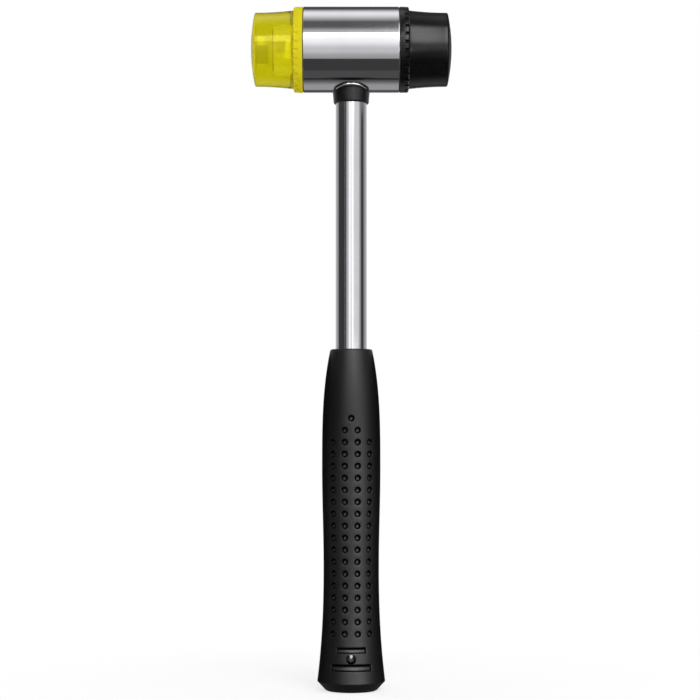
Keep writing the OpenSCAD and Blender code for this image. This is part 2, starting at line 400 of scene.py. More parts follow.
# Thread shared by the studs and their sockets
threadSizes = {
    "pitch": 2.5,
    "crest": 9.9,       # outside radius of the stud
    "root": 8.6,
    "crestFlat": 0.35,
    "slope": 0.577,     # flank, across per unit of depth
    "flankGap": 0.1,
    "socketCrest": 8.8,
    "socketFoot": 10.3,
    "buried": 0.3,      # how far a stud's ridge is sunk in its core
    "relief": 0.9,      # plain length under the flange
    "lead": 1.0,        # chamfer at the stud's end
    "stepsPerTurn": 72,
}


def ridgeWidth(radius):
    t = threadSizes
    return t["crestFlat"] + 2 * (t["crest"] - radius) * t["slope"]


def socketRidgeWidth(radius):
    t = threadSizes
    return t["pitch"] - ridgeWidth(radius) - 2 * t["flankGap"]


def threadRidge(name, foot, crest, footWidth, crestWidth, start, end):
    t = threadSizes
    turns = (end - start) / t["pitch"]
    piece = freshPiece(name, bpy.ops.mesh.primitive_plane_add, size=mm)
    footHalf = footWidth / 2
    crestHalf = crestWidth / 2
    section = [(foot, -footHalf), (crest, -crestHalf), (foot, footHalf), (crest, crestHalf)]
    for vertex, (r, s) in zip(piece.data.vertices, section):
        vertex.co = (r * mm, 0, (start + s) * mm)
    editAll()
    bpy.ops.mesh.delete(type="ONLY_FACE")
    setMode("OBJECT")
    winding = piece.modifiers.new("winding", "SCREW")
    winding.axis = "Z"
    winding.angle = turns * math.tau
    winding.screw_offset = turns * t["pitch"] * mm
    winding.steps = winding.render_steps = round(turns * t["stepsPerTurn"])
    bpy.ops.object.modifier_apply(modifier=winding.name)
    editAll()
    bpy.ops.mesh.fill_holes(sides=4)
    mergeAndTurnOut()
    setMode("OBJECT")
    return piece


def studRidge(name):
    t = threadSizes
    foot = t["root"] - t["buried"]
    half = ridgeWidth(foot) / 2
    piece = threadRidge(name, foot, t["crest"], 2 * half, t["crestFlat"],
                        studEnd + half + bondGap, seatPlace - t["relief"] - half)
    tip = t["crest"] - t["lead"]
    for vertex in piece.data.vertices:  # the lead chamfer trims the first turn
        r = math.hypot(vertex.co.x, vertex.co.y) / mm
        limit = tip + vertex.co.z / mm - studEnd
        if r > limit:
            vertex.co.x *= limit / r
            vertex.co.y *= limit / r
    return piece


# Striking faces
faceSizes = {
    "flangeThick": 3.7,
    "flangeStep": 1.5,
    "flangeChamfer": 0.4,
    "flangeDraft": 0.1,
    "backRound": 0.15,
    "rootRound": 0.3,
    "sideDraw": 0.95,
    "crownRise": 1.7,
    "edgeRound": 0.8,
    "domeCuts": 12,
    "edgeCuts": 6,
    "sideCuts": 12,
    "coreSteps": 144,
    "notchCount": 32,
    "notchRadius": 0.75,
    "notchLength": 1.8,
    "notchEnd": 0.12,      # slope of a notch's closed end
    "notchCuts": 8,        # facets across one notch
    "rimCuts": 4,          # facets between two notches
    "hollowRadius": 7.0,
    "hollowFloor": 9.2,    # solid plastic from the hollow to the apex
    "hollowRound": 0.9,
    "anchorRadius": 12.0,
}
stepPlace = seatPlace + faceSizes["flangeThick"]


def strikeOutline():  # dome, rounded edge and hollowed side, from the apex to the flange
    f = faceSizes
    rootR = headRadius - f["flangeStep"]
    edgeR = rootR - f["sideDraw"]
    domeR = (edgeR ** 2 + f["crownRise"] ** 2) / (2 * f["crownRise"])
    domeS = apexPlace - domeR
    roundR = edgeR - f["edgeRound"]
    roundS = domeS + math.sqrt((domeR - f["edgeRound"]) ** 2 - roundR ** 2)
    tilt = math.pi / 2 - math.atan2(roundR, roundS - domeS)
    sideLength = roundS - stepPlace
    sideArc = (sideLength ** 2 + f["sideDraw"] ** 2) / (2 * f["sideDraw"])
    sweep = math.asin(sideLength / sideArc)
    dome = arc((0, domeS), domeR, math.pi / 2, tilt, f["domeCuts"])
    edge = arc((roundR, roundS), f["edgeRound"], tilt, 0, f["edgeCuts"])
    side = arc((edgeR + sideArc, roundS), sideArc, math.pi, math.pi + sweep, f["sideCuts"])
    return dome + edge[1:] + side[1:]


def faceOutline(behind):  # behind: the corners on from the back of the flange, to the axis
    f = faceSizes
    strike = strikeOutline()
    notchStart = stepPlace - f["notchLength"]
    draft = f["flangeDraft"]
    corners = [
        (*strike[-2], 0),
        (*strike[-1], f["rootRound"]),
        (headRadius - 2 * f["notchRadius"] + f["flangeChamfer"], stepPlace, 0),
        (headRadius - draft - f["flangeChamfer"], stepPlace, 0.12),
        (headRadius - draft, stepPlace - f["flangeChamfer"], 0.12),
        (headRadius - draft / 2, notchStart + f["notchEnd"], 0),
        (headRadius - draft / 2, notchStart, 0),
        (headRadius, seatPlace, f["backRound"]),
    ]
    return strike[:-2] + softened(corners + behind)


def turnFace(name, outline):
    f = faceSizes
    cuts = f["notchCuts"] + f["rimCuts"]
    steps = f["notchCount"] * cuts
    piece = turnOutline(name, outline, steps)
    across = []
    for k in range(cuts):  # place along the rim and depth of each facet's edge, in one notch and one rim
        if k <= f["notchCuts"]:
            turn = math.pi * k / f["notchCuts"]
            across.append((-f["notchRadius"] * math.cos(turn), f["notchRadius"] * math.sin(turn)))
        else:
            share = (k - f["notchCuts"]) / f["rimCuts"]
            plain = math.tau * headRadius / f["notchCount"] - 2 * f["notchRadius"]
            across.append((f["notchRadius"] + plain * share, 0))
    notchStart = stepPlace - f["notchLength"] + f["notchEnd"] / 2
    recessShade = piece.data.attributes.new("recessShade", "FLOAT", "POINT")  # 1 down in the notches, where the sheen is cut as painted shade
    for vertex, mark in zip(piece.data.vertices, recessShade.data):
        r = math.hypot(vertex.co.x, vertex.co.y) / mm
        if r < 0.01:
            continue
        number = round(math.atan2(vertex.co.y, vertex.co.x) / math.tau * steps) % steps
        shift, depth = across[number % cuts]
        angle = number // cuts * math.tau / f["notchCount"] + shift / headRadius
        if notchStart < vertex.co.z / mm < stepPlace + 0.01 and r > headRadius - depth:
            r = headRadius - depth
            mark.value = depth / f["notchRadius"]
        vertex.co.x = r * math.cos(angle) * mm
        vertex.co.y = r * math.sin(angle) * mm
    return piece


def clearFace():
    f = faceSizes
    root = threadSizes["root"]
    hollowEnd = apexPlace - f["hollowFloor"]
    outline = faceOutline([
        (root, seatPlace, 0.25),
        (root, studEnd, 0.2),
        (f["hollowRadius"], studEnd, 0.2),
        (f["hollowRadius"], hollowEnd, f["hollowRound"]),
        (0, hollowEnd, 0),
    ])
    piece = turnFace("clearFace", outline)
    carve(piece, studRidge("clearRidge"), "UNION")
    onSide(piece, -1)
    dress(piece, "clearYellow", "yellow_striker", "yellow_face")


def rubberFace():
    f = faceSizes
    neck = threadSizes["crest"] + bondGap
    outline = faceOutline([
        (neck, seatPlace, 0.1),
        (neck, stepPlace, 0),
        (f["anchorRadius"] + bondGap, stepPlace, 0),
        (f["anchorRadius"] + bondGap, coreTop + bondGap, 0),
        (0, coreTop + bondGap, 0),
    ])
    piece = turnFace("rubberFace", outline)
    onSide(piece, 1)
    dress(piece, "blackRubber", "black_striker", "black_face")


def studCore():
    f = faceSizes
    t = threadSizes
    outline = softened([
        (0, coreTop, 0),
        (f["anchorRadius"], coreTop, 0.3),
        (f["anchorRadius"], stepPlace + bondGap, 0.3),
        (t["crest"], stepPlace + bondGap, 0),
        (t["crest"], seatPlace, 0.15),
        (t["root"], seatPlace, 0.2),
        (t["root"], studEnd, 0.2),
        (f["hollowRadius"], studEnd, 0.2),
        (f["hollowRadius"], seatPlace, 0.5),
        (0, seatPlace, 0),
    ])
    piece = turnOutline("studCore", outline, f["coreSteps"])
    carve(piece, studRidge("coreRidge"), "UNION")
    onSide(piece, 1)
    dress(piece, "naturalNylon", "black_striker", "black_face_core")


# Barrel
barrelSizes = {
    "rimRound": 0.1,
    "rimHold": 0.06,      # ring beside the rounding, which keeps the wall straight in shading
    "socketRadius": 10.0,
    "socketLead": 1.0,
    "socketRunout": 0.6,  # plain length between the lead and the thread
    "wallRings": 24,
    "steps": 192,
}


def cylinderTool(name, radius, length, centre, rotation=(0, 0, 0), steps=96):
    return freshPiece(name, bpy.ops.mesh.primitive_cylinder_add, vertices=steps, radius=radius * mm,
                      depth=length * mm, location=[c * mm for c in centre], rotation=rotation)


def pinTool(length):
    return cylinderTool("pinTool", pinRadius + bondGap, length, headCentre, (0, math.pi / 2, 0))


neckSizes = {  # rings on the barrel's round side: reach aside and ahead, thickness aside and ahead
    "bead": (6.9, 8.3, 0.1, 0.82),
    "lip": (7.1, 9.1, 0.45, 0.4),
    "beadDrop": 0.15,
    "squareness": 0.8,    # 1 would be an ellipse
    "startRadius": 10,    # of the plain ring that is drawn to shape
    "steps": (144, 16),
}


def neckRound(name):
    across, ahead, thin, full = neckSizes[name]
    power = neckSizes["squareness"]
    drop = neckSizes["beadDrop"] if name == "bead" else 0
    start = neckSizes["startRadius"]
    piece = freshPiece(name, bpy.ops.mesh.primitive_torus_add, major_segments=neckSizes["steps"][0],
                       minor_segments=neckSizes["steps"][1], major_radius=start * mm, minor_radius=mm)
    for vertex in piece.data.vertices:
        x, y, z = vertex.co / mm
        turn = math.atan2(y, x)
        rise = math.atan2(z, math.hypot(x, y) - start)
        thick = thin + (full - thin) * math.sin(turn) ** 2
        aside = math.copysign(across * abs(math.cos(turn)) ** power, math.cos(turn))
        front = math.copysign(ahead * abs(math.sin(turn)) ** power, math.sin(turn))
        foot = headAxis - math.sqrt(headRadius ** 2 - front ** 2) - drop
        x = aside + thick * math.cos(rise) * math.cos(turn)
        y = front + thick * math.cos(rise) * math.sin(turn)
        vertex.co = (x * mm, y * mm, (foot + thick * math.sin(rise)) * mm)
    return piece


def barrel():
    b = barrelSizes
    t = threadSizes
    half = softened([
        (0, socketFloor, 0),
        (b["socketRadius"], socketFloor, 0.3),
        (b["socketRadius"], rimPlace - b["socketLead"], 0),
        (b["socketRadius"] + b["socketLead"], rimPlace, 0.2),
        (headRadius, rimPlace, b["rimRound"]),
        (headRadius, 0, 0),
    ], 6)[:-1]
    wallTop = half[-1][1]
    heights = [wallTop * (1 - 2 * i / b["wallRings"]) for i in range(1, b["wallRings"])]
    heights = [wallTop - b["rimHold"]] + heights + [b["rimHold"] - wallTop]
    outline = half + [(headRadius, s) for s in heights] + [(r, -s) for r, s in reversed(half)]
    piece = turnOutline("barrelShell", outline, b["steps"])
    onSide(piece, 1)
    boreTop = tubeHigh[2] + bondGap
    boreFoot = headAxis - 2 * headRadius
    boreMiddle = (0, 0, (boreTop + boreFoot) / 2)
    bore = cylinderTool("boreTool", tubeRadius + bondGap, boreTop - boreFoot, boreMiddle)
    carve(piece, bore, "DIFFERENCE")
    carve(piece, neckRound("bead"), "UNION")
    carve(piece, pinTool(2 * socketFloor + 1), "DIFFERENCE")
    footHalf = ridgeWidth(t["root"] - t["buried"]) / 2
    start = studEnd + footHalf + bondGap + t["pitch"] / 2  # half a pitch from the stud's own ridge
    end = rimPlace - b["socketLead"] - b["socketRunout"]
    widths = [socketRidgeWidth(t["socketFoot"]), socketRidgeWidth(t["socketCrest"])]
    for side in (-1, 1):
        ridge = threadRidge("socketRidge", t["socketFoot"], t["socketCrest"], *widths, start, end)
        carve(piece, onSide(ridge, side), "UNION")
    dress(piece, "barrelChrome", "barrel_and_handle", "head_body", 30)


# Collar under the barrel
collarSizes = {
    "topWall": 1.2,
    "lowWall": 0.85,
    "drop": 4.8,         # below the barrel's lowest line
    "lowChamfer": 0.35,
    "round": 0.14,
    "rings": 14,
    "steps": 160,
}


def collar():
    c = collarSizes
    inner = tubeRadius + bondGap
    low = tubeRadius + c["lowWall"]
    high = tubeRadius + c["topWall"]
    top = collarFoot + c["drop"]
    wallFoot = collarFoot + c["lowChamfer"]
    shares = [i / c["rings"] for i in range(1, c["rings"])]
    wall = [(low + (high - low) * share, wallFoot + (top - wallFoot) * share, 0) for share in shares]
    corners = [
        (inner, collarFoot + c["drop"] / 2, 0),
        (inner, collarFoot, c["round"]),
        (low - c["lowChamfer"], collarFoot, c["round"]),
        (low, collarFoot + c["lowChamfer"], c["round"]),
        *wall,
        (high, top, c["round"]),
        (inner, top, 0),
        (inner, collarFoot + c["drop"] / 2, 0),
    ]
    piece = turnOutline("neckRing", softened(corners), c["steps"])
    for vertex in piece.data.vertices:  # draws the top up to a saddle under the barrel
        share = (vertex.co.z / mm - collarFoot) / c["drop"]
        saddle = headAxis - math.sqrt((headRadius + bondGap) ** 2 - (vertex.co.y / mm) ** 2)
        vertex.co.z = (collarFoot + share * (saddle - collarFoot)) * mm
    joinTo(piece, [neckRound("lip")])
    dress(piece, "collarPlastic", "barrel_and_handle", "neck_collar")


# Handle tube
tubeSizes = {
    "wall": 1.2,
    "endRound": 0.25,
    "rings": 20,
    "steps": 160,
}


def handleTube():
    s = tubeSizes
    inner = tubeRadius - s["wall"]
    low, high = tubeLow[2], tubeHigh[2]
    wall = [(tubeRadius, low + (high - low) * i / s["rings"], 0) for i in range(1, s["rings"])]
    corners = [
        (inner, (low + high) / 2, 0),
        (inner, low, s["endRound"]),
        (tubeRadius, low, s["endRound"]),
        *wall,
        (tubeRadius, high, s["endRound"]),
        (inner, high, s["endRound"]),
        (inner, (low + high) / 2, 0),
    ]
    piece = turnOutline("handleTubing", softened(corners), s["steps"])
    carve(piece, pinTool(4 * tubeRadius), "DIFFERENCE")
    dress(piece, "tubeChrome", "barrel_and_handle", "handle_tube", 30)


# Grip
gripSizes = {
    "mouthWall": 2.15,
    "bellyRadius": 11.85,
    "bellyHeight": 90.5,
    "waistRadius": 11.2,
    "waistHeight": 49,
    "footRadius": 13.7,
    "footHeight": 3.8,
    "buttRadius": 9.8,
    "edgeRound": 0.7,
    "heelRound": 0.5,
    "mouthEase": 0.25,        # rounding at the mouth of the bore
    "shoulderPower": 3,
    "flarePower": 2.25,
    "sheetRadius": 11.6,      # radius at which the flat sheet has its true width
    "dimpleRows": 19,
    "dimplePitch": 4.78,
    "lowestRow": 23.5,
    "columnAngle": 26,
    "cellCuts": 8,            # facets along one side of a dimple's cell
    "sideCuts": 24,           # facets across the plain side
    "bandCuts": 6,            # facets up each plain band round the slots
    "slotCuts": 2,
    "shoulderCuts": 30,
    "boreCuts": 12,
    "dimpleRings": [          # radius and depth, from the floor out to the rim
        (0.5, 0.86), (0.6, 0.83), (0.7, 0.72), (1.18, 0.2), (1.3, 0.06), (1.4, 0.01), (1.5, 0.0)],
    "upperSlot": (9, 15.7, 18.3),     # facets to each side of the middle, lower and upper edge
    "lowerSlot": (12, 8.55, 11.65),
    "slotRim": 0.32,
    "slotSteps": [(0.06, 0.04), (0.08, 0.14), (0.4, 0.62), (0.08, 0.1)],  # in from the edge, and down
    "slotLean": 0.2,                  # how far the floor is set below the slot's middle
    "slotRamp": 0.3,                  # share of the depth to which the floor ramps out at the lower edge
    "holeRadius": 1.7,
    "holeHeight": 13.6,
    "holeFlare": 0.25,
    "holeSink": 1,            # how far the hole goes past the tube's wall
    "holeSteps": 48,
}


def gripRadius(z):
    s = gripSizes
    mouth = tubeRadius + s["mouthWall"]
    if z >= s["bellyHeight"]:
        t = (z - s["bellyHeight"]) / (gripTop - s["bellyHeight"])
        return s["bellyRadius"] - (s["bellyRadius"] - mouth) * t ** s["shoulderPower"]
    if z >= s["waistHeight"]:
        t = (z - s["waistHeight"]) / (s["bellyHeight"] - s["waistHeight"])
        return s["waistRadius"] + (s["bellyRadius"] - s["waistRadius"]) * (1 - math.cos(math.pi * t)) / 2
    t = (s["waistHeight"] - z) / (s["waistHeight"] - s["footHeight"])
    return s["waistRadius"] + (s["footRadius"] - s["waistRadius"]) * t ** s["flarePower"]


def flatPanel(acrossLines, upLines):  # one plain panel of the unrolled sheet
    piece = freshPiece("gripPanel", bpy.ops.mesh.primitive_grid_add, size=mm,
                       x_subdivisions=len(acrossLines) - 1, y_subdivisions=len(upLines) - 1)
    for vertex in piece.data.vertices:
        column = round((vertex.co.x / mm + 0.5) * (len(acrossLines) - 1))
        row = round((vertex.co.y / mm + 0.5) * (len(upLines) - 1))
        vertex.co = (acrossLines[column] * mm, 0, upLines[row] * mm)
    return piece


def evenLines(low, high, cuts):
    return [low + (high - low) * i / cuts for i in range(cuts + 1)]


def dimpleCells(centres, halfWidth, halfHeight):  # one dimple's cell, copied to every centre
    s = gripSizes
    around = 4 * s["cellCuts"]
    rings = s["dimpleRings"]
    r0, depth0 = rings[0]
    x0, z0 = centres[0]
    piece = freshPiece("gripCell", bpy.ops.mesh.primitive_circle_add, vertices=around, radius=r0 * mm,
                       fill_type="TRIFAN", location=(x0 * mm, depth0 * mm, z0 * mm),
                       rotation=(math.pi / 2, 0, 0))
    bpy.ops.object.transform_apply()
    editAll()
    bpy.ops.mesh.region_to_loop()
    for (r1, d1), (r2, d2) in zip(rings, rings[1:] + [(halfHeight, 0)]):
        bpy.ops.mesh.extrude_edges_move(TRANSFORM_OT_translate={"value": (0, (d2 - d1) * mm, 0)})
        bpy.ops.transform.resize(value=(r2 / r1, 1, r2 / r1), center_override=(x0 * mm, 0, z0 * mm))
    setMode("OBJECT")
    for vertex in piece.data.vertices:  # squares the outer ring to the cell's edge
        if not vertex.select:
            continue
        angle = math.atan2(vertex.co.z - z0 * mm, vertex.co.x - x0 * mm) / (math.pi / 4)
        side = round(angle / 2)
        along = angle - 2 * side
        x, z = ((1, along), (-along, 1), (-1, -along), (along, -1))[side % 4]
        vertex.co = ((x0 + x * halfWidth) * mm, 0, (z0 + z * halfHeight) * mm)
    editAll()
    for (xa, za), (xb, zb) in zip(centres, centres[1:]):
        step = ((xb - xa) * mm, 0, (zb - za) * mm)
        bpy.ops.mesh.duplicate_move(TRANSFORM_OT_translate={"value": step})
    setMode("OBJECT")
    return piece


def selectNone(mesh):
    for element in (*mesh.vertices, *mesh.edges, *mesh.polygons):
        element.select = False


def selectRing(mesh, height):  # the edges that lie at one height
    selectNone(mesh)
    for edge in mesh.edges:
        edge.select = all(abs(mesh.vertices[i].co.z / mm - height) < 0.01 for i in edge.vertices)


def slotShare(z, low, high):  # the depth at a height, as a share of the depth at the slot's upper edge
    ramp = gripSizes["slotRamp"]
    return ramp + (1 - ramp) * (z - low) / (high - low)


def sinkSlot(piece, halfWidth, low, high):
    s = gripSizes
    mesh = piece.data
    selectNone(mesh)
    for face in mesh.polygons:
        x, _, z = face.center / mm
        face.select = abs(x) < halfWidth and low < z < high
    inward = mesh.polygons[0].normal.y
    setMode("EDIT")
    bpy.ops.mesh.select_mode(type="FACE")
    for number, (inset, drop) in enumerate(s["slotSteps"]):
        if number == len(s["slotSteps"]) - 1:
            bpy.ops.transform.translate(value=(0, 0, -s["slotLean"] * mm))
        bpy.ops.mesh.inset(thickness=inset * mm, depth=math.copysign(drop * mm, inward))
    setMode("OBJECT")
    middle = (low + high) / 2 - s["slotLean"]
    reach = halfWidth - sum(inset for inset, _ in s["slotSteps"]) - 0.01
    # marks the slot's walls, where the sheen is cut as painted shade; the floor keeps it
    recessShade = mesh.attributes["recessShade"].data
    for vertex, mark in zip(mesh.vertices, recessShade):
        x, depth, z = vertex.co / mm
        if depth > 0.01 and abs(x) < halfWidth and low < z < high:
            onFloor = abs(z - middle) < 0.01 and abs(x) < reach
            mark.value = 0 if onFloor or depth < 0.06 else 1
            vertex.co.y *= slotShare(z, low, high)


def gripSleeve():
    s = gripSizes
    column = math.radians(s["columnAngle"]) * s["sheetRadius"]
    facet = column / s["cellCuts"]
    pitch = s["dimplePitch"]
    frontHalf = 2 * s["cellCuts"]  # facets from the middle to the edge of the dimpled front
    front = [facet * i for i in range(-frontHalf, frontHalf + 1)]
    side = evenLines(front[-1], front[0] + math.pi * s["sheetRadius"], s["sideCuts"])
    topEdge = gripTop - s["edgeRound"]

    lowLines = [s["footHeight"]]
    for low, high in (s["lowerSlot"][1:], s["upperSlot"][1:]):
        lowLines += evenLines(lowLines[-1], low - s["slotRim"], s["bandCuts"])[1:]
        lowLines += evenLines(low, high, s["slotCuts"]) + [high + s["slotRim"]]
    cellsFoot = s["lowestRow"] - pitch / 2
    lowLines += evenLines(lowLines[-1], cellsFoot, s["bandCuts"])[1:]
    fullRows = s["dimpleRows"] - 2
    cellsTop = cellsFoot + fullRows * pitch
    parts = [flatPanel(front + side[1:], lowLines)]

    rows = [s["lowestRow"] + row * pitch for row in range(fullRows)]
    pairRow = cellsTop + pitch / 2
    centres = [(column * (i - 1.5), z) for z in rows for i in range(4)]
    centres += [(-column / 2, pairRow), (column / 2, pairRow), (0, pairRow + pitch)]  # the field's point
    parts.append(dimpleCells(centres, column / 2, pitch / 2))
    parts.append(flatPanel(side, evenLines(cellsFoot, cellsTop, fullRows * s["cellCuts"])))
    for row, gap in ((0, s["cellCuts"]), (1, s["cellCuts"] // 2)):  # plain cells beside the point
        upLines = evenLines(cellsTop + row * pitch, cellsTop + (row + 1) * pitch, s["cellCuts"])
        parts.append(flatPanel(front[:frontHalf - gap + 1], upLines))
        parts.append(flatPanel(front[frontHalf + gap:] + side[1:], upLines))
    shoulder = evenLines(cellsTop + 2 * pitch, topEdge, s["shoulderCuts"])
    parts.append(flatPanel(front + side[1:], shoulder))

    piece = parts[0]
    joinTo(piece, parts[1:])
    piece.name = piece.data.name = "gripSleeve"
    setMode("EDIT")
    mergeAndTurnOut(0.01)
    setMode("OBJECT")
    recessShade = piece.data.attributes.new("recessShade", "FLOAT", "POINT")  # 1 on steep walls, where the sheen is cut as painted shade
    wallFoot = 0.9 * s["dimpleRings"][0][1]
    for vertex, mark in zip(piece.data.vertices, recessShade.data):
        mark.value = 1 if 0.05 < vertex.co.y / mm < wallFoot else 0
    for facets, low, high in (s["lowerSlot"], s["upperSlot"]):
        sinkSlot(piece, facets * facet, low, high)
    print("grip sheet laid out:", len(piece.data.polygons), "faces")

    for vertex in piece.data.vertices:  # rolls the sheet round the handle
        across, depth, z = vertex.co / mm
        r = gripRadius(z) - depth
        angle = across / s["sheetRadius"]
        vertex.co = (r * math.sin(angle) * mm, -r * math.cos(angle) * mm, z * mm)
    makeActive(piece)
    bpy.ops.object.duplicate()
    backHalf = settle(bpy.context.object, rotation=(0, 0, math.pi))
    joinTo(piece, [backHalf])
    setMode("EDIT")
    bpy.ops.mesh.select_mode(type="VERT")
    bpy.ops.mesh.select_all(action="SELECT")
    bpy.ops.mesh.remove_doubles(threshold=0.01 * mm)
    setMode("OBJECT")

    mouth = gripRadius(topEdge)
    bore = tubeRadius + bondGap
    lip = arc((mouth - s["edgeRound"], topEdge), s["edgeRound"], 0, math.pi / 2, 4)
    ease = s["mouthEase"]
    lip += [(bore + ease, gripTop), (bore + 0.28 * ease, gripTop - 0.28 * ease)]
    lip += [(bore, z) for z in (gripTop - ease, *evenLines(gripTop, boreFloor, s["boreCuts"])[1:])]
    heel = softened([
        (s["footRadius"], s["footHeight"], 0),
        (s["buttRadius"] + s["edgeRound"], s["edgeRound"] / 2, s["heelRound"]),
        (s["buttRadius"], 0, s["heelRound"]),
        (0, 0, 0),
    ])[:-1]
    for loop in (lip, heel):  # draws the open edges in over the mouth and the butt
        selectRing(piece.data, loop[0][1])
        setMode("EDIT")
        bpy.ops.mesh.select_mode(type="EDGE")
        for (r1, z1), (r2, z2) in zip(loop, loop[1:]):
            bpy.ops.mesh.extrude_edges_move(TRANSFORM_OT_translate={"value": (0, 0, (z2 - z1) * mm)})
            bpy.ops.transform.resize(value=(r2 / r1, r2 / r1, 1), center_override=(0, 0, 0))
        bpy.ops.mesh.edge_face_add()
        setMode("OBJECT")
    setMode("EDIT")
    mergeAndTurnOut(0.004)
    setMode("OBJECT")

    surface = gripRadius(s["holeHeight"])
    flare = s["holeFlare"]
    inside = tubeRadius - s["holeSink"]
    tool = turnOutline("holeTool", softened([
        (0, inside, 0),
        (s["holeRadius"], inside, 0),
        (s["holeRadius"], surface - 2 * flare, 0.4),
        (s["holeRadius"] + 2 * flare, surface + flare, 0),
        (0, surface + flare, 0),
    ]), s["holeSteps"])
    settle(tool, rotation=(math.pi / 2, 0, 0), location=(0, 0, s["holeHeight"] * mm))
    makeActive(tool)
    bpy.ops.object.duplicate()
    backTool = settle(bpy.context.object, location=(0, 0, 0), rotation=(0, 0, math.pi))
    carve(piece, tool, "DIFFERENCE")
    carve(piece, backTool, "DIFFERENCE")
    dress(piece, "gripVinyl", "barrel_and_handle", "grip")


# Every finish, then every piece that takes one
finishes = {
    "barrelChrome": chromePlate("barrelChrome", "X", headCentre),
    "tubeChrome": chromePlate("tubeChrome", "Z", (0, 0, 0)),
    "clearYellow": clearYellow(),
    "blackRubber": blackRubber(),
    "gripVinyl": gripVinyl(),
    "collarPlastic": collarPlastic(),
    "pressedFibre": pressedFibre(),
    "naturalNylon": naturalNylon(),
    "turnedSteel": turnedSteel(),
    "capPlastic": capPlastic(),
}
print("finishes made:", len(finishes))

barrel()
clearFace()
rubberFace()
studCore()
collar()
handleTube()
gripSleeve()

# Frame parts that keep their own mesh
for node, finish in {
    "yellow_face_washer": "pressedFibre",
    "black_face_washer": "pressedFibre",
    "tube_plug": "turnedSteel",
    "handle_pin": "turnedSteel",
    "tube_end_cap": "capPlastic",
}.items():
    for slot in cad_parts[node].material_slots:
        slot.material = finishes[finish]
print("frame parts dressed")


# Stage: floor, soft panels and cards, in metres
stageSizes = {
    "floor": 6.0,
    "shadowZone": (0.03, 0.2),    # radii where the floor starts and ends to turn plain white
    "floorZones": {               # where the mirrored floor changes, in depth and then across
        "ahead": (-0.395, -0.38), "farAhead": (-1.0, -0.38), "nearFoot": (-0.13, -0.1),
        "behind": (0.02, 0.15), "behindEnd": (0.3, 0.45), "farBehind": (1.8, 2.4),
        "right": (0.09, 0.12), "leftEnd": (-0.45, -0.3), "rightEnd": (0.35, 0.5),
    },
    "frontZones": {               # where the front panel changes, across or up
        "stripLeft": (-0.1, -0.085), "stripRight": (0.075, 0.09),
        "stripFoot": (0.1, 0.5), "stripTop": (0.5, 0.75), "stripEnd": (0.93, 0.98),
        "leftFade": (-1.1, -0.12), "rightFade": (0.3, 0.7), "rightEnd": (1.5, 1.9),
        "bandLeft": (-0.4, -0.3), "bandFoot": (0.47, 0.58),
        "lineFoot": (0.72, 0.78), "lineTop": (0.9, 0.96),
        "tubeLeft": (-0.3, -0.2), "tubeRight": (0.2, 0.3),
        "tubeFoot": (0.08, 0.2), "tubeTop": (0.4, 0.52),
        "lowLeft": (0.25, 0.4), "lowRight": (1.0, 1.5), "lowTop": (0.13, 0.19),
        "asideLeft": (0.3, 0.45), "asideFoot": (0.56, 0.68),
        "boxLeft": (0.08, 0.14), "boxRight": (1.1, 1.4),
    },
    "frontPanel": {"centre": (0.75, -1.0, 0.51), "size": (3.7, 1.02), "turn": (90, 0, 0)},
    "upperPanel": {"centre": (0, -0.476, 0.903), "size": (1.6, 0.474), "turn": (36.5, 0, 0)},
    "topPanel": {"centre": (0, 0.205, 1.25), "size": (1.6, 1.13), "turn": (0, 0, 0)},
    "backCards": {  # seen only through the clear face
        "tipCard": ((-0.0397, 0.165, 0.31), (0.0125, 0.056), (90, 0, 0), 0.78),
        "hollowGlow": ((-0.0725, 1.5, 0.625), (0.045, 0.85), (90, 0, 0), 1.35),
    },
    "cards": {  # seen only in mirror reflections; the last figure is brightness
        "backTopCard": ((0, 0.737, 0.776), (1.6, 0.62), (125, 0, 0), 0.08),
        "leftCard": ((-0.5, -0.143, 0.18), (0.36, 0.554), (0, 90, 0), 0.05),
        "rightCard": ((0.6, 0.0, 0.17), (0.34, 0.27), (0, -90, 0), 0.06),
        "leftShield": ((-0.03625, 0.004, 0.0685), (0.0525, 0.137), (90, 0, 0), 0.01),
        "rightShield": ((0.03625, 0.004, 0.0685), (0.0525, 0.137), (90, 0, 0), 0.01),
        "holeCard": ((0, -0.06, 0.006), (0.02, 0.012), (-110, 0, 0), 0.9),
    },
    "boxLevel": 7.0,
    "skyDiffuse": 0.75,
    "skyBeside": 0.3,
    "skyAbove": 0.5,
    "skyBehind": 0.65,
}


def stagePlane(name, centre, size, turn):
    piece = freshPiece(name, bpy.ops.mesh.primitive_plane_add, size=1)
    piece.scale = (size[0], size[1], 1)
    piece.rotation_euler = [math.radians(a) for a in turn]
    piece.location = centre
    return piece


def emission(g, strength):
    return g.node("ShaderNodeEmission", None, {"Color": (1, 1, 1, 1), "Strength": strength})


def lightPath(g, kind):
    return g.node("ShaderNodeLightPath", output=kind)


def mirrorRay(g):
    return lightPath(g, "Is Glossy Ray") * (1 - lightPath(g, "Is Transmission Ray"))


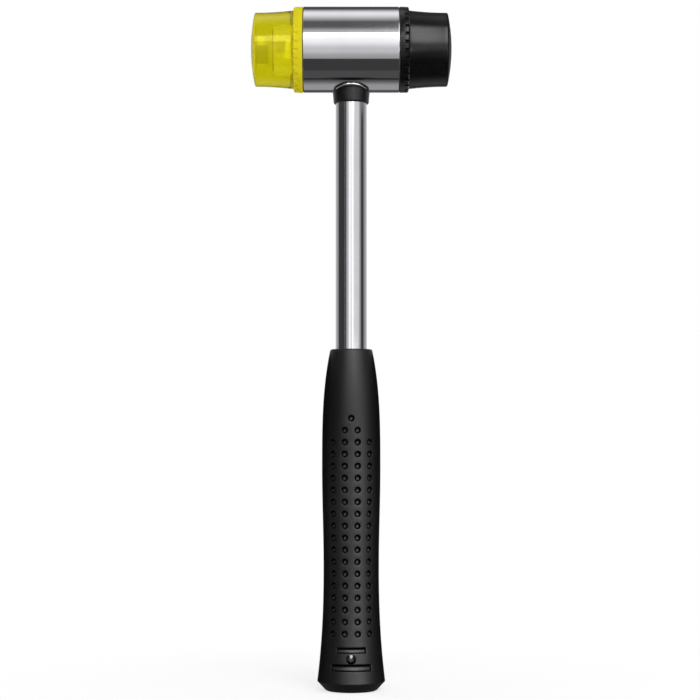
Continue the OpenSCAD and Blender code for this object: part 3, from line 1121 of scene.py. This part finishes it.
def paleFloor():  # white with the object's shadow to the camera, stepped grey to a mirror
    near, far = stageSizes["shadowZone"]
    floor = stagePlane("floor", (0, 0, 0), (stageSizes["floor"], stageSizes["floor"]), (0, 0, 0))
    settle(floor)
    material, g = newFinish("paleFloor")
    coords = g.node("ShaderNodeTexCoord", output="Object")
    away = g.node("ShaderNodeVectorMath", {"operation": "LENGTH"}, {0: coords}, "Value")
    z = stageSizes["floorZones"]
    across = g.axis(coords, "X")
    depth = g.axis(coords, "Y")
    ahead = (1 - depth.within(*z["ahead"])) * (0.38 + (1 - depth.within(*z["farAhead"])) * 0.3)
    behind = depth.within(*z["behind"]) * (1 - depth.within(*z["behindEnd"])) * 0.32
    under = 0.055 + depth.within(*z["nearFoot"]) * 0.035
    under = under + (ahead + behind) * (1 - across.within(*z["right"]) * 0.65)
    shaded = across.within(*z["leftEnd"]) * (1 - across.within(*z["rightEnd"]))
    shaded = shaded * (1 - depth.within(*z["farBehind"]))
    grey = emission(g, under * shaded + (1 - shaded) * 0.8)
    paint = g.node("ShaderNodeBsdfDiffuse", None, {"Color": (0.96, 0.96, 0.96, 1)})
    white = (0.7 + away.within(near, far) * 0.3) * lightPath(g, "Is Camera Ray")
    white = white + lightPath(g, "Is Transmission Ray")
    plain = g.node("ShaderNodeMixShader", None, {0: white, 1: paint, 2: emission(g, 1.0)})
    g.end(g.node("ShaderNodeMixShader", None, {0: mirrorRay(g), 1: plain, 2: grey}))
    floor.data.materials.append(material)


def softPanel(name, level):  # level: makes a panel's brightness from its place across and up
    place = stageSizes[name]
    panel = stagePlane(name, **place)
    panel.visible_camera = False
    panel.visible_transmission = False
    material, g = newFinish(name + "Glow")
    coords = g.node("ShaderNodeTexCoord", output="Object")
    across = g.axis(coords, "X") * place["size"][0] + place["centre"][0]
    up = g.axis(coords, "Y")
    g.end(emission(g, level(across, up)))
    panel.data.materials.append(material)


def frontLevel(across, up):
    z = stageSizes["frontZones"]
    up = up * stageSizes["frontPanel"]["size"][1] + stageSizes["frontPanel"]["centre"][2]
    right = across.within(*z["stripRight"])
    left = 1 - across.within(*z["stripLeft"])
    strip = 1 - right - left  # the part that the barrel mirrors
    rise = 0.72 + up.within(*z["stripFoot"]) * 0.5 + up.within(*z["stripTop"]) * 0.2
    rise = rise * (1 - up.within(*z["stripEnd"]) * 0.55)
    sides = across.within(*z["leftFade"]) * (1 - across.within(*z["rightFade"]) * 0.14)
    sides = sides * (1 - across.within(*z["rightEnd"]) * 0.4)
    below = 1 - up.within(*z["lineTop"])
    line = across.within(*z["bandLeft"]) * (1 - right) * up.within(*z["lineFoot"]) * below
    band = across.within(*z["bandLeft"]) * left * up.within(*z["bandFoot"]) * below
    high = up.within(*z["tubeTop"])  # above what the tube mirrors
    hot = across.within(*z["tubeLeft"]) * left * 0.6 + right * (1 - across.within(*z["tubeRight"]))
    hot = hot * up.within(*z["tubeFoot"]) * (1 - high)
    low = across.within(*z["lowLeft"]) * (1 - across.within(*z["lowRight"]))
    low = low * (1 - up.within(*z["lowTop"])) * 4
    aside = across.within(*z["asideLeft"])
    high = high * (1 - aside) + up.within(*z["asideFoot"]) * aside * 0.5
    box = across.within(*z["boxLeft"]) * high * (1 - across.within(*z["boxRight"]))
    level = strip * rise + (1 - strip) * sides * 0.95 + line * 3 * (1 - left) + band * 5.5
    return level + hot + low + box * stageSizes["boxLevel"]


def upperLevel(across, up):
    box = across.within(0.065, 0.11) * (1 - across.within(0.3, 0.4)) * (1 - up.within(0.1, 0.45))
    return 0.12 + (1 - up.within(-0.48, 0)) * 0.45 + box * stageSizes["boxLevel"]


def topLevel(across, up):
    level = 0.14 + up.within(-0.6, 0) * 0.95 - up.within(0, 0.45) * 0.85
    return level * (1 - across.within(0.06, 0.09) * 0.65)


def cards(group, seenBy):
    for name, (centre, size, turn, level) in stageSizes[group].items():
        card = stagePlane(name, centre, size, turn)
        for ray in ("camera", "diffuse", "glossy", "transmission", "shadow"):
            setattr(card, "visible_" + ray, ray == seenBy)
        material, g = newFinish(name)
        rear = g.node("ShaderNodeNewGeometry", output="Backfacing")  # seen through from its rear
        clear = g.node("ShaderNodeBsdfTransparent")
        g.end(g.node("ShaderNodeMixShader", None, {0: rear, 1: emission(g, level), 2: clear}))
        card.data.materials.append(material)


def studioWorld():
    world = bpy.data.worlds.new("studio")
    bpy.context.scene.world = world
    world.use_nodes = True
    g = Graph(world.node_tree)
    s = stageSizes
    base = s["skyDiffuse"]
    way = g.node("ShaderNodeTexCoord", output="Generated")
    behind = g.axis(way, "Y").within(0.3, 0.9)
    above = g.axis(way, "Z").within(0.3, 0.6)
    mirrored = s["skyBeside"] + behind * (s["skyBehind"] - s["skyBeside"])
    mirrored = mirrored + above * (1 - behind) * s["skyAbove"]
    direct = lightPath(g, "Is Camera Ray") + lightPath(g, "Is Transmission Ray")
    level = base + direct * (1 - base) + mirrorRay(g) * (mirrored - base)
    sky = g.node("ShaderNodeBackground", None, {"Color": (1, 1, 1, 1), "Strength": level})
    g.end(sky, "ShaderNodeOutputWorld")


paleFloor()
softPanel("frontPanel", frontLevel)
softPanel("upperPanel", upperLevel)
softPanel("topPanel", topLevel)
cards("cards", "glossy")
cards("backCards", "transmission")
studioWorld()
bpy.data.objects["handleTubing"].visible_glossy = False  # the barrel mirrors the plain stage
print("stage set")

# Camera at the photograph's place
viewSizes = {
    "lens": 100,
    "sensor": 36,
    "distance": 0.791,
    "eyeHeight": 0.098,
    "aimHeight": 0.1375,
    "aside": -0.0005,
}
cameraData = bpy.data.cameras.new("photoCamera")
cameraData.lens = viewSizes["lens"]
cameraData.sensor_width = viewSizes["sensor"]
camera = bpy.data.objects.new("photoCamera", cameraData)
bpy.context.scene.collection.objects.link(camera)
camera.location = (viewSizes["aside"], -viewSizes["distance"], viewSizes["eyeHeight"])
aim = Vector((viewSizes["aside"], 0, viewSizes["aimHeight"])) - camera.location
camera.rotation_euler = aim.to_track_quat("-Z", "Y").to_euler()
bpy.context.scene.camera = camera
bpy.context.scene.view_settings.view_transform = "Standard"
print("camera set")
